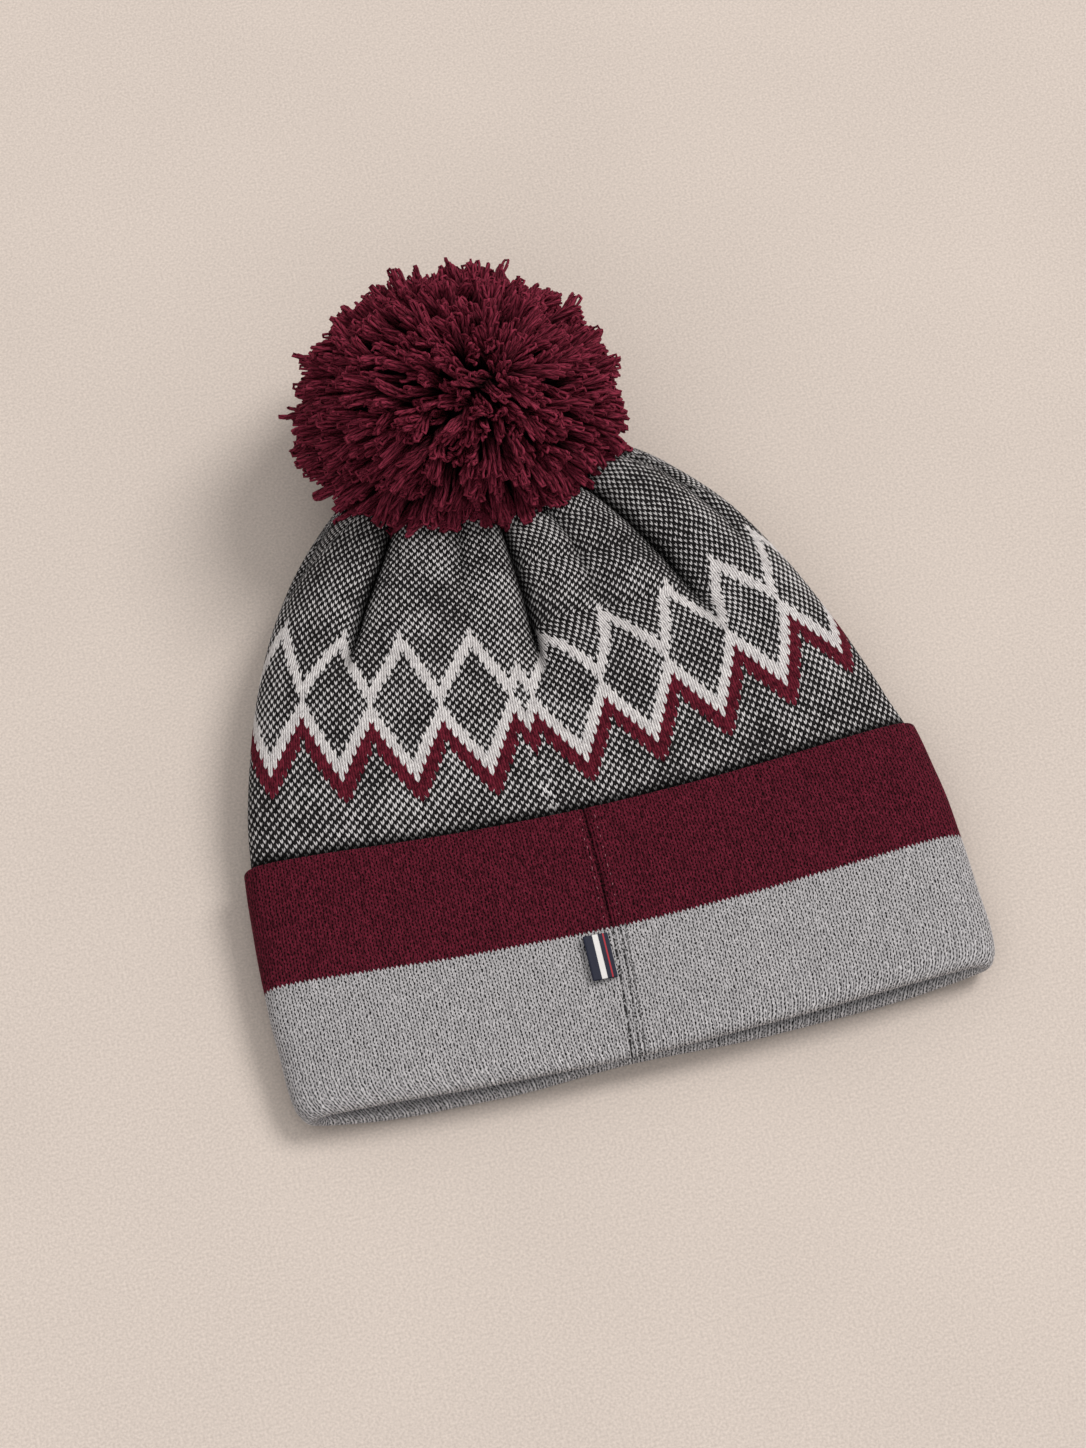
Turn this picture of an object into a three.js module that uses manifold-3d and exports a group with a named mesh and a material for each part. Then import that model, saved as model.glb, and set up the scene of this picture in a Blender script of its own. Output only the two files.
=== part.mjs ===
// A knitted bobble hat lying on its front, back seam up, in millimetres with +Z up.
// The mouth faces -Y and the bobble +Y. The body fabric is one tube: plain in the cuff, patterned
// in the crown, gathered to a point under the bobble. The cuff is the same band turned up outside.

import * as THREE from 'three';
import { mergeVertices } from 'three/addons/utils/BufferGeometryUtils.js';
import Module from 'manifold-3d';

const wasm = await Module();
wasm.setup();

// Driving dimensions
const clearance = 0.3;
const hatLength = 231; // mouth fold to gathered point
const cuffHeight = 81;
const crownWall = 2.2;
const crownStart = 71; // the crown's lower end, tucked inside the cuff
const tipStart = 125; // below this station the crown is well clear of the bobble
const tipGrowth = 0.35;
const cuffOuterWall = 2.2;
const cuffInnerWall = 2.0;
const layerGap = 0.4; // between the turned-up layer and the fabric inside it
const cuffFolded = cuffOuterWall + layerGap; // how far the cuff stands out from the body fabric

// How the flattened tube is rounded: 2 would be an ellipse
const roundness = 2.8;
const underRoundness = 1.15; // above 1, the underside is pressed flat
const edgeLevel = 0.42; // share of the height at which the tube is widest
const crownTaper = { start: 92, power: 0.55, heightPower: 8 };

// Mesh density
const topColumns = 38;
const underColumns = 12;
const crownRows = 22;
const evenShare = 0.4; // 1 spaces the columns evenly across, 0 crowds them at the side edges

// The body fabric's outer face, station by station from the mouth fold.
// halfWidth is before the taper, shift is how far the middle lies to the right, top and under are
// heights over the floor, bow is how far the side edges lie back from the mouth, recess is how far
// the underside's middle lies back, and dip is how far the top sags at the seam.
const sections = [
  { along: 0, halfWidth: 106.8, shift: 0, top: 13.6, under: cuffFolded, bow: 4.5, recess: 2.6, dip: 1.6 },
  { along: 5, halfWidth: 110.2, shift: 0, top: 14.6, under: cuffFolded, bow: 5.0, recess: 2.4, dip: 1.5 },
  { along: 20, halfWidth: 111.0, shift: 0, top: 16.8, under: cuffFolded, bow: 6.4, recess: 1.4, dip: 1.0 },
  { along: 45, halfWidth: 110.8, shift: -0.2, top: 19.4, under: cuffFolded, bow: 8.0, recess: 0, dip: 0.4 },
  { along: 70, halfWidth: 109.0, shift: -0.6, top: 21.8, under: cuffFolded, bow: 9.0, recess: 0, dip: 0 },
  { along: 81, halfWidth: 107.8, shift: -0.8, top: 22.9, under: cuffFolded, bow: 9.0, recess: 0, dip: 0 },
  { along: 84, halfWidth: 107.3, shift: -1.0, top: 23.5, under: cuffFolded, bow: 9.0, recess: 0, dip: 0 },
  { along: 96, halfWidth: 105.2, shift: -1.8, top: 26.8, under: 0, bow: 7.0, recess: 0, dip: 0 },
  { along: 115, halfWidth: 103.0, shift: -2.4, top: 31.2, under: 0, bow: 2.0, recess: 0, dip: 0 },
  { along: 135, halfWidth: 101.2, shift: -2.9, top: 34.4, under: 0, bow: 0, recess: 0, dip: 0 },
  { along: 160, halfWidth: 100.0, shift: -3.1, top: 36.6, under: 0, bow: 0, recess: 0, dip: 0 },
  { along: 185, halfWidth: 100.0, shift: -3.1, top: 36.4, under: 0, bow: 0, recess: 0, dip: 0 },
  { along: 205, halfWidth: 101.0, shift: -3.4, top: 33.4, under: 0, bow: 0, recess: 0, dip: 0 },
  { along: 231, halfWidth: 101.0, shift: -6.0, top: 27.0, under: 0, bow: 0, recess: 0, dip: 0 },
];
const seamSag = { x: -6, spread: 40 };

// Folds that run down from the gathered point. gatherShare and footShare are where the fold lies
// across the hat, from -1 at the left edge to 1 at the right edge, at its two ends.
const folds = [
  { gatherShare: -0.86, footShare: -0.88, footAlong: 178, depth: 3.5, spread: 6.0 },
  { gatherShare: -0.54, footShare: -0.67, footAlong: 147, depth: 9.0, spread: 6.0 },
  { gatherShare: -0.28, footShare: -0.27, footAlong: 150, depth: 3.0, spread: 7.0 },
  { gatherShare: -0.06, footShare: -0.04, footAlong: 130, depth: 8.0, spread: 5.5 },
  { gatherShare: 0.2, footShare: 0.28, footAlong: 132, depth: 3.0, spread: 7.0 },
  { gatherShare: 0.4, footShare: 0.58, footAlong: 122, depth: 9.0, spread: 6.0 },
  { gatherShare: 0.74, footShare: 0.8, footAlong: 165, depth: 3.5, spread: 6.0 },
];
const foldRise = 45; // a fold reaches its full depth this far above its foot
const foldNarrowing = 60; // half-width below which the folds grow narrower with the crown
const foldFade = { none: 22, full: 52 }; // half-widths between which folds close up at the gather

const bobble = {
  centre: new THREE.Vector3(-7.5, 229, 33),
  halfWidth: 55,
  halfLength: 47.5,
  above: 51, // it sags, so its widest level is nearer the floor than its top
  below: 36,
  turn: THREE.MathUtils.degToRad(-10),
  lump: 0.022,
  columns: 26,
  rows: 16,
};

const tab = {
  left: -14.0,
  right: -6.0,
  along: 31.8, // of its middle
  length: 14.5,
  ribbon: 0.5,
  slot: 0.3,
  seat: 0.35, // its lower ply over the cuff
};

function material(color, roughness) {
  return new THREE.MeshStandardMaterial({ color, roughness, metalness: 0 });
}

const materials = {
  crown: material(0x6f6d6f, 0.95),
  cuff: material(0x5c1a2e, 0.95),
  bobble: material(0x551429, 0.95),
  tab: material(0x20243c, 0.7),
};

// Smooth value of one column of the section table (cubic through the rows).
function columnAt(name, along) {
  const last = sections.length - 1;
  const place = sections.findIndex((row) => row.along > along);
  const i = place < 0 ? last - 1 : Math.max(0, place - 1);
  const slopeAt = (k) => {
    const before = sections[Math.max(0, k - 1)];
    const after = sections[Math.min(last, k + 1)];
    return (after[name] - before[name]) / (after.along - before.along);
  };
  const low = sections[i];
  const high = sections[i + 1];
  const step = high.along - low.along;
  const t = THREE.MathUtils.clamp((along - low.along) / step, 0, 1);
  const t2 = t * t;
  const t3 = t2 * t;
  return low[name] * (2 * t3 - 3 * t2 + 1) + high[name] * (3 * t2 - 2 * t3)
    + slopeAt(i) * step * (t3 - 2 * t2 + t) + slopeAt(i + 1) * step * (t3 - t2);
}

// Half-width, top, underside and widest height at a station, closed to a point at the gather.
function sectionAt(along) {
  const share = THREE.MathUtils.clamp((along - crownTaper.start) / (hatLength - crownTaper.start), 0, 1);
  const closeWidth = (1 - share ** 2) ** crownTaper.power;
  const closeHeight = (1 - share ** crownTaper.heightPower) ** 0.5;
  const under = Math.max(0, columnAt('under', along));
  const top = columnAt('top', along);
  const edge = under + edgeLevel * (top - under);
  return {
    halfWidth: columnAt('halfWidth', along) * closeWidth,
    edge,
    rise: (top - edge) * closeHeight,
    drop: edge - under,
    bow: columnAt('bow', along),
    recess: columnAt('recess', along),
    dip: columnAt('dip', along),
    shift: columnAt('shift', along),
    close: closeHeight,
  };
}

// How far the folds press the top face down at a place across the hat.
function foldDrop(across, along, section) {
  let drop = 0;
  for (const fold of folds) {
    const climb = (along - fold.footAlong) / foldRise;
    if (climb > 0) {
      const run = (along - fold.footAlong) / (hatLength - fold.footAlong);
      const share = THREE.MathUtils.lerp(fold.footShare, fold.gatherShare, run);
      const spread = fold.spread * Math.min(1, section.halfWidth / foldNarrowing);
      const away = (across - share) * section.halfWidth / Math.max(spread, 0.5);
      const ramp = THREE.MathUtils.smoothstep(climb, 0, 1);
      const fade = THREE.MathUtils.smoothstep(section.halfWidth, foldFade.none, foldFade.full);
      drop += fold.depth * ramp * fade * Math.exp(-away * away);
    }
  }
  return drop;
}

// A point of the body fabric's outer face. side runs from 0 at the right edge, over the top to
// the left edge at topShare, and back along the underside to 1.
const topShare = topColumns / (topColumns + underColumns);

function bodyPoint(side, along) {
  const turn = side - Math.floor(side);
  const section = sectionAt(along);
  const onTop = turn < topShare;
  const sweep = onTop ? 1 - 2 * turn / topShare : 2 * (turn - topShare) / (1 - topShare) - 1;
  const across = evenShare * sweep + (1 - evenShare) * Math.sin(sweep * Math.PI / 2);
  const round = Math.max(0, 1 - Math.abs(across) ** roundness) ** (1 / roundness);
  const x = section.halfWidth * across + section.shift;
  const sag = section.dip * Math.exp(-(((x - seamSag.x) / seamSag.spread) ** 2));
  const forward = along + section.bow * across * across;
  if (onTop) {
    const drop = foldDrop(across, along, section) + sag;
    return new THREE.Vector3(x, forward, section.edge + section.rise * round - drop);
  }
  const sunk = section.drop * Math.min(1, underRoundness * round * section.close);
  return new THREE.Vector3(x, forward + section.recess * round, section.edge - sunk);
}

// The same point moved out along the face's normal (inwards where offset is negative).
function offsetPoint(side, along, offset) {
  const sideStep = 0.006;
  const alongStep = 0.3;
  const before = Math.max(0, along - alongStep);
  const after = Math.min(hatLength - 0.05, along + alongStep);
  const across = bodyPoint(side + sideStep, along).sub(bodyPoint(side - sideStep, along));
  const forward = bodyPoint(side, after).sub(bodyPoint(side, before));
  const normal = forward.cross(across).normalize();
  return bodyPoint(side, along).addScaledVector(normal, offset);
}

function ring(along, offset) {
  const count = topColumns + underColumns;
  const points = [];
  for (let i = 0; i < count; i += 1) points.push(offsetPoint(i / count, along, offset));
  return points;
}

// One closed skin from rings of equal count. Poles close its two ends; without them the last
// ring joins the first.
function skin(rings, firstPole, lastPole) {
  const count = rings[0].length;
  const vertices = rings.flat();
  const faces = [];
  const at = (r, i) => (r % rings.length) * count + (i % count);
  const spans = firstPole ? rings.length - 1 : rings.length;
  for (let r = 0; r < spans; r += 1) {
    for (let i = 0; i < count; i += 1) {
      faces.push(at(r, i), at(r, i + 1), at(r + 1, i), at(r, i + 1), at(r + 1, i + 1), at(r + 1, i));
    }
  }
  if (firstPole) {
    const first = vertices.push(firstPole) - 1;
    const last = vertices.push(lastPole) - 1;
    const end = rings.length - 1;
    for (let i = 0; i < count; i += 1) {
      faces.push(first, at(0, i + 1), at(0, i), last, at(end, i), at(end, i + 1));
    }
  }
  const geometry = new THREE.BufferGeometry();
  const positions = vertices.flatMap((v) => [v.x, v.y, v.z]);
  geometry.setAttribute('position', new THREE.Float32BufferAttribute(positions, 3));
  geometry.setIndex(faces);
  return geometry;
}

function toSolid(geometry) {
  const bare = geometry.clone();
  bare.deleteAttribute('normal');
  bare.deleteAttribute('uv');
  const merged = mergeVertices(bare, 1e-5);
  return new wasm.Manifold(new wasm.Mesh({
    numProp: 3,
    vertProperties: Float32Array.from(merged.attributes.position.array),
    triVerts: Uint32Array.from(merged.index.array),
  }));
}

function fromSolid(solid) {
  const mesh = solid.getMesh();
  const geometry = new THREE.BufferGeometry();
  geometry.setAttribute('position', new THREE.BufferAttribute(mesh.vertProperties, 3));
  geometry.setIndex(new THREE.BufferAttribute(mesh.triVerts, 1));
  return geometry;
}

// Stations of the crown, closer together towards the gathered point.
function crownStations() {
  const stations = [];
  for (let row = 0; row < crownRows; row += 1) {
    stations.push(crownStart + (hatLength - crownStart) * Math.sin(row / crownRows * Math.PI / 2));
  }
  return stations;
}

function gatherPoint(inset) {
  const section = sectionAt(hatLength);
  return new THREE.Vector3(section.shift, hatLength - inset, section.edge);
}

// Crown: an open-mouthed shell, outer face down from the gather, then inner face back up to it.
function crownShell() {
  const stations = crownStations();
  const outer = stations.map((along) => ring(along, 0)).reverse();
  const inner = stations.map((along) => ring(along, -crownWall));
  return skin([...outer, ...inner], gatherPoint(0), gatherPoint(crownWall));
}

// The crown's upper end as a full solid, grown by the clearance, to be cut from the bobble.
function crownTip() {
  const stations = crownStations().filter((along) => along > tipStart);
  const rings = stations.map((along) => ring(along, tipGrowth)).reverse();
  const capCentre = new THREE.Vector3(0, stations[0], sectionAt(stations[0]).edge);
  return skin(rings, gatherPoint(-tipGrowth), capCentre);
}

// Cuff: a band folded at the mouth. The profile is a closed loop of stations and offsets from
// the body fabric: the turned-up layer, round the fold, the inner layer, and back between them.
function cuffBand() {
  const outerFace = cuffFolded;
  const innerFace = -cuffInnerWall;
  const foldRadius = (outerFace - innerFace) / 2;
  const foldMiddle = (outerFace + innerFace) / 2;
  const hem = cuffOuterWall / 2;
  const innerEnd = crownStart - clearance;
  const halfway = 1 - Math.SQRT1_2;
  const profile = [
    { along: cuffHeight, offset: outerFace - hem },
    { along: cuffHeight - halfway * hem, offset: outerFace - halfway * hem },
    { along: cuffHeight - hem, offset: outerFace },
  ];
  for (const along of [62, 42, 22, 9]) profile.push({ along, offset: outerFace });
  for (const turn of [90, 45, 0, -45, -90].map(THREE.MathUtils.degToRad)) {
    profile.push({
      along: foldRadius * (1 - Math.cos(turn)),
      offset: foldMiddle + foldRadius * Math.sin(turn),
    });
  }
  for (const along of [22, 46, innerEnd]) profile.push({ along, offset: innerFace });
  for (const along of [innerEnd, 46, 22, foldRadius + 1]) profile.push({ along, offset: 0 });
  for (const along of [foldRadius + 1, 22, 46, 66, cuffHeight - hem]) {
    profile.push({ along, offset: layerGap });
  }
  return skin(profile.map((step) => ring(step.along, step.offset)));
}

// Bobble: a lumpy ball of yarn, pressed flat where it lies and hollowed by the crown under it.
function bobbleBall() {
  const ball = new THREE.SphereGeometry(1, bobble.columns, bobble.rows);
  const position = ball.attributes.position;
  const point = new THREE.Vector3();
  for (let i = 0; i < position.count; i += 1) {
    point.fromBufferAttribute(position, i);
    const crossing = Math.sin(5 * point.x + 1) * Math.cos(6 * point.y);
    const waves = crossing + Math.sin(5 * point.z + 4 * point.y);
    point.multiplyScalar(1 + bobble.lump * waves);
    const halfHeight = point.y < 0 ? bobble.above : bobble.below;
    point.set(point.x * bobble.halfWidth, point.z * bobble.halfLength, -point.y * halfHeight);
    point.applyAxisAngle(new THREE.Vector3(0, 0, 1), bobble.turn).add(bobble.centre);
    position.setXYZ(i, point.x, point.y, Math.max(0, point.z));
  }
  return fromSolid(toSolid(ball).subtract(toSolid(crownTip())));
}

// Tab: a ribbon folded double, its fold to the left and its two ends sewn in at the seam.
function tabRibbon() {
  const width = tab.right - tab.left;
  const outside = (2 * tab.ribbon + tab.slot) / 2;
  const inside = tab.slot / 2;
  const bend = outside - width;
  const outline = new THREE.Shape();
  outline.moveTo(0, -outside);
  outline.lineTo(0, -inside);
  outline.lineTo(bend, -inside);
  outline.absarc(bend, 0, inside, -Math.PI / 2, Math.PI / 2, true);
  outline.lineTo(0, inside);
  outline.lineTo(0, outside);
  outline.lineTo(bend, outside);
  outline.absarc(bend, 0, outside, Math.PI / 2, -Math.PI / 2, false);
  outline.closePath();
  const ribbon = new THREE.ExtrudeGeometry(outline, {
    depth: tab.length,
    bevelEnabled: false,
    curveSegments: 6,
  });
  ribbon.translate(0, 0, -tab.length / 2);
  ribbon.rotateX(Math.PI / 2);
  return ribbon;
}

// Lies the tab on the cuff's top face, turned to follow the face's slope both ways.
function seatTab(mesh) {
  const sideAt = (x) => {
    const sweep = x / (sectionAt(tab.along).halfWidth * (evenShare + (1 - evenShare) * Math.PI / 2));
    return topShare * (1 - sweep) / 2;
  };
  const place = (x, along) => offsetPoint(sideAt(x), along, cuffFolded);
  const across = place(tab.right, tab.along).sub(place(tab.left, tab.along)).normalize();
  const reach = tab.length / 2;
  const forward = place(tab.right, tab.along + reach).sub(place(tab.right, tab.along - reach));
  const up = new THREE.Vector3().crossVectors(across, forward.normalize()).normalize();
  forward.crossVectors(up, across);
  mesh.setRotationFromMatrix(new THREE.Matrix4().makeBasis(across, forward, up));
  mesh.position.copy(place(tab.right, tab.along)).addScaledVector(up, tab.ribbon + tab.slot / 2 + tab.seat);
}

function named(name, geometry, look) {
  const mesh = new THREE.Mesh(geometry, look);
  mesh.name = name;
  return mesh;
}

const hat = new THREE.Group();
hat.name = 'bobble_hat';
hat.add(named('crown', crownShell(), materials.crown));
hat.add(named('cuff', cuffBand(), materials.cuff));
hat.add(named('bobble', bobbleBall(), materials.bobble));
const ribbonTab = named('tab', tabRibbon(), materials.tab);
seatTab(ribbonTab);
hat.add(ribbonTab);

// The origin is the bottom centre of the whole hat.
hat.updateMatrixWorld(true);
const bounds = new THREE.Box3().setFromObject(hat, true);
const middle = bounds.getCenter(new THREE.Vector3());
hat.position.set(-middle.x, -middle.y, -bounds.min.z);

export default hat;
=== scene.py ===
import math
import bpy
import numpy as np
from mathutils import Matrix, Vector


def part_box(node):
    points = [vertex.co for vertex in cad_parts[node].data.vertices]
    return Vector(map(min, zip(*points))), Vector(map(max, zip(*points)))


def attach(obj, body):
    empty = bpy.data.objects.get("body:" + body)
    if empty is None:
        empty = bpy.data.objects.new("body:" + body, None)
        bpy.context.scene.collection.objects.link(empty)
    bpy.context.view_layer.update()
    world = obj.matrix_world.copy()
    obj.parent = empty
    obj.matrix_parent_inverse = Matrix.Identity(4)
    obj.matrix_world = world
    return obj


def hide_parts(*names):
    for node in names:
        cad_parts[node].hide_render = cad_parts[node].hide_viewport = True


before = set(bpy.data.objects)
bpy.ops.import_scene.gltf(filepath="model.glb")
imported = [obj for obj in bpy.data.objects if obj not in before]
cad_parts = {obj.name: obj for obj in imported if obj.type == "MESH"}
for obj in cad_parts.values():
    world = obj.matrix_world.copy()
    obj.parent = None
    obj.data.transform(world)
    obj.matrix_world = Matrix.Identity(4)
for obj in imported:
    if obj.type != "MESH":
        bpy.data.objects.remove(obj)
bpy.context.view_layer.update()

# A knitted bobble hat lying on its front. Shapes are worked out in millimetres from the middle of
# the mouth (x to the right, y towards the bobble, z up) and put into metres at the end.

hat = {
    "length": 231.0,       # mouth fold to gathered point
    "cuffTop": 81.0,
    "crownStart": 71.0,
    "roundness": 2.8,      # 2 is an ellipse, more is boxier
    "underRound": 1.15, "backRound": 1.3,   # how soon the underside and the lower layer fill out
    "creaseRound": 2.2, "creaseWidth": (16, 46),   # creases fade at the edges and near the gather
    "edgeLevel": 0.42,     # share of the height where the tube is widest
    "taperStart": 92.0,
    "taperPower": 0.55,
    "heightPower": 8.0,
}

# The body fabric's outer face, station by station
hatRows = {
    "along":     [0, 5, 20, 45, 70, 81, 84, 96, 115, 135, 160, 185, 205, 231],
    "halfWidth": [106.8, 110.2, 111.0, 110.8, 109.0, 107.8, 107.3, 105.2, 103.0, 101.2, 100.0, 100.0,
                  101.0, 101.0],
    "shift":     [0, 0, 0, -0.2, -0.6, -0.8, -1.0, -1.8, -2.4, -2.9, -3.1, -3.1, -3.4, -6.0],
    "top":       [13.6, 14.6, 16.8, 19.4, 21.8, 22.9, 23.5, 26.8, 31.2, 34.4, 36.6, 36.4, 33.4, 27.0],
    "under":     [2.6, 2.6, 2.6, 2.6, 2.6, 2.6, 2.6, 0, 0, 0, 0, 0, 0, 0],
    "bow":       [4.5, 5.0, 6.4, 8.0, 9.0, 9.0, 9.0, 7.0, 2.0, 0, 0, 0, 0, 0],
    "mouth":     [1, 0.93, 0.55, 0.12, 0, 0, 0, 0, 0, 0, 0, 0, 0, 0],
}

# Near the mouth the layers close up at the seam: how far the top layer sags there, and how far the
# lower layer stands back from it (below 0 it stands out), place by place across the hat
mouthRows = {
    "x":    [-115, -85, -50, -6, 40, 85, 115],
    "dip":  [0.2, 0.6, 2.2, 3.6, 2.0, 0.6, 0.2],
    "back": [-1.5, -1.6, -0.9, 1.6, -0.2, -0.7, -0.6],
}

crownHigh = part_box("crown")[1]
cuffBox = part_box("cuff")
mouthMiddle = np.array([(cuffBox[0].x + cuffBox[1].x) / 2, crownHigh.y - hat["length"] / 1000, 0.0])
dice = np.random.default_rng(7)


def unit(v):
    return v / np.maximum(np.linalg.norm(v, axis=-1, keepdims=True), 1e-9)


# bell curve exp(-(x / width)^2)
def bell(x, width):
    return np.exp(-((x / width) ** 2))


# s-curve from 0 at low to 1 at high: 3t^2 - 2t^3
def easeStep(value, low, high):
    t = np.clip((value - low) / (high - low), 0, 1)
    return t * t * (3 - 2 * t)


# one column of hatRows at any station, a cubic through the rows with slopes from their neighbours
def rowValue(name, along):
    stations = np.array(hatRows["along"], float)
    values = np.array(hatRows[name], float)
    last = len(stations) - 1
    before = np.clip(np.arange(last + 1) - 1, 0, last)
    after = np.clip(np.arange(last + 1) + 1, 0, last)
    slopes = (values[after] - values[before]) / (stations[after] - stations[before])
    i = np.clip(np.searchsorted(stations, along, side="right") - 1, 0, last - 1)
    step = stations[i + 1] - stations[i]
    t = np.clip((along - stations[i]) / step, 0, 1)
    return (values[i] * (2 * t**3 - 3 * t**2 + 1) + values[i + 1] * (3 * t**2 - 2 * t**3)
            + slopes[i] * step * (t**3 - 2 * t**2 + t) + slopes[i + 1] * step * (t**3 - t**2))


# one column of mouthRows at any x, eased between its rows by 3t^2 - 2t^3
def softRow(name, x):
    places, values = np.array(mouthRows["x"], float), np.array(mouthRows[name], float)
    i = np.clip(np.searchsorted(places, x, side="right") - 1, 0, len(places) - 2)
    return values[i] + (values[i + 1] - values[i]) * easeStep(x, places[i], places[i + 1])


# half-width, rise and drop at a station; both close to nothing at the gather:
# width by (1 - s^2)^0.55 and height by sqrt(1 - s^8), s the share of the way up the crown
def sectionAt(along, inset=0.0):
    share = np.clip((along - hat["taperStart"]) / (hat["length"] - hat["taperStart"]), 0, 1)
    closeWidth = (1 - share**2) ** hat["taperPower"]
    closeHeight = (1 - share ** hat["heightPower"]) ** 0.5
    under = np.maximum(0, rowValue("under", along))
    top = rowValue("top", along)
    edge = under + hat["edgeLevel"] * (top - under)
    return {
        "halfWidth": np.maximum(rowValue("halfWidth", along) * closeWidth - inset, 0.2),
        "rise": np.maximum((top - edge) * closeHeight - inset, 0.15),
        "drop": np.maximum((edge - under) * closeHeight - inset, 0.1),
        "edge": edge,
        "shift": rowValue("shift", along), "bow": rowValue("bow", along),
        "mouth": np.clip(rowValue("mouth", along), 0, 1),
    }


# creases that run down from the gather; each is where two bulging pleats meet, and fold is the half
# width of the painted shade along it
creases = [
    {"x": [-67.5, -60.6, -53.6, -45.5, -38.4, -6.0], "along": [138, 152.5, 166.8, 180.2, 193.5, 231],
     "foot": 139, "rise": 24, "depth": 10.5, "left": 14, "right": 14, "sharp": 2.3, "spread": 6.0,
     "fold": 1.8},
    {"x": [-3.6, -3.6, -3.3, -3.8, -4.0, -6.0], "along": [120, 134.4, 158.2, 173.8, 187.8, 231],
     "foot": 120, "rise": 26, "depth": 9.8, "left": 12, "right": 13, "sharp": 2.3, "spread": 6.0,
     "fold": 1.9},
    {"x": [62.0, 56.9, 51.1, 44.9, 37.2, 29.0, -6.0], "along": [112, 126.6, 144.7, 161.6, 177.1, 190.8, 231],
     "foot": 127, "rise": 34, "depth": 9.6, "left": 13, "right": 24, "sharp": 1.7, "spread": 6.5,
     "fold": 3.0},
    {"x": [-26.0, -24.0, -18.2, -6.0], "along": [140, 152, 184.3, 231],
     "foot": 146, "rise": 34, "depth": 3.4, "left": 9, "right": 9, "sharp": 1.5, "spread": 7.0,
     "fold": 2.0},
    {"x": [30.0, 28.7, 19.8, 16.0, -6.0], "along": [122, 131.3, 148.7, 172.6, 231],
     "foot": 130, "rise": 40, "depth": 3.4, "left": 10, "right": 10, "sharp": 1.5, "spread": 7.0,
     "fold": 2.0},
    {"x": [-86.0, -77.0, -60.0, -6.0], "along": [150, 178, 200, 231],
     "foot": 160, "rise": 30, "depth": 3.6, "left": 10, "right": 10, "sharp": 1.6, "spread": 6.0,
     "fold": 2.0},
    {"x": [80.0, 68.0, 52.0, -6.0], "along": [140, 172, 198, 231],
     "foot": 148, "rise": 34, "depth": 4.2, "left": 12, "right": 12, "sharp": 1.6, "spread": 6.0,
     "fold": 2.0},
]
deepest = max(crease["depth"] for crease in creases)


# where a crease's middle line runs at a station, and how far it has grown from its foot, 0 to 1
def creaseAt(crease, along):
    grown = easeStep(along, crease["foot"], crease["foot"] + crease["rise"])
    return np.interp(along, crease["along"], crease["x"]), grown


# how far the creases press the top down: two superellipse shoulders that meet at the crease,
# depth * (1 - (1 - (1 - d/reach)^p)^(1/p)) for the sharp face, a bell curve for the inner wall
def creaseDrop(x, along, halfWidth, inner):
    drop = np.zeros(np.broadcast(x, along).shape)
    wide = easeStep(halfWidth, *hat["creaseWidth"])
    for crease in creases:
        middle, grown = creaseAt(crease, along)
        away = x - middle
        if inner:
            drop += crease["depth"] * grown * wide * bell(away, crease["spread"])
        else:
            reach = np.where(away < 0, crease["left"], crease["right"])
            near = np.clip(1 - np.abs(away) / reach, 0, 1)
            p = crease["sharp"]
            drop += crease["depth"] * grown * wide * (1 - (1 - near**p) ** (1 / p))
    return drop


# how far inside a fold a place lies, 0 to 1, which sets the painted shade in the creases: a bell
# curve across each crease, by its depth
def foldShadeShare(x, along):
    share = np.zeros(np.broadcast(x, along).shape)
    for crease in creases:
        middle, grown = creaseAt(crease, along)
        share += crease["depth"] / deepest * grown**0.5 * bell(x - middle, crease["fold"])
    return np.minimum(share, 1)


# height of the tube's section, 1 in its middle and 0 at its edges: (1 - |u|^n)^(1/n)
def roundedAt(across):
    return np.maximum(0, 1 - np.abs(across) ** hat["roundness"]) ** (1 / hat["roundness"])


# top face of the tube: z = edge + rise * rounded less creases and sag, y = along + bow u^2
def topFace(across, along, inset=0.0, inner=False):
    section, rounded = sectionAt(along, inset), roundedAt(across)
    x = section["halfWidth"] * across + section["shift"]
    y = along + section["bow"] * across**2
    sag = section["mouth"] * softRow("dip", x)
    drop = creaseDrop(x, along, section["halfWidth"], inner) * np.minimum(1, hat["creaseRound"] * rounded)
    z = section["edge"] + section["rise"] * rounded - sag - drop
    return np.stack(np.broadcast_arrays(x, y, z), -1)


# underside: the same curve pressed flat, z = edge - drop * min(1, 1.15 * rounded)
def underFace(across, along, inset=0.0):
    section, rounded = sectionAt(along, inset), roundedAt(across)
    x = section["halfWidth"] * across + section["shift"]
    standBack = section["mouth"] * softRow("back", x) * np.minimum(1, hat["backRound"] * rounded)
    y = along + section["bow"] * across**2 + standBack
    z = section["edge"] - section["drop"] * np.minimum(1, hat["underRound"] * rounded)
    return np.stack(np.broadcast_arrays(x, y, z), -1)


# top face at a place given by its x
def topAt(x, along):
    section = sectionAt(along)
    return topFace((x - section["shift"]) / section["halfWidth"], along)


# shares across the hat, close together at its edges: u = cos(t)^(2/n) from +1 to -1
def acrossAt(turn):
    bare = np.cos(turn)
    return np.sign(bare) * np.abs(bare) ** (2 / hat["roundness"])


# distance run along a line of points, from 0 at its first
def runOf(points):
    return np.concatenate([[0], np.cumsum(np.linalg.norm(np.diff(points, axis=0), axis=1))])


# points at given distances along such a line
def pointsAt(steps, points):
    run = runOf(points)
    return np.stack([np.interp(steps, run, points[:, k]) for k in range(points.shape[1])], -1)


# points of an arc, its angles in degrees
def arcOf(centre, radius, start, end, count):
    turn = np.radians(np.linspace(start, end, count))
    return np.array(centre) + radius * np.stack([np.cos(turn), np.sin(turn)], -1)


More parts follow.
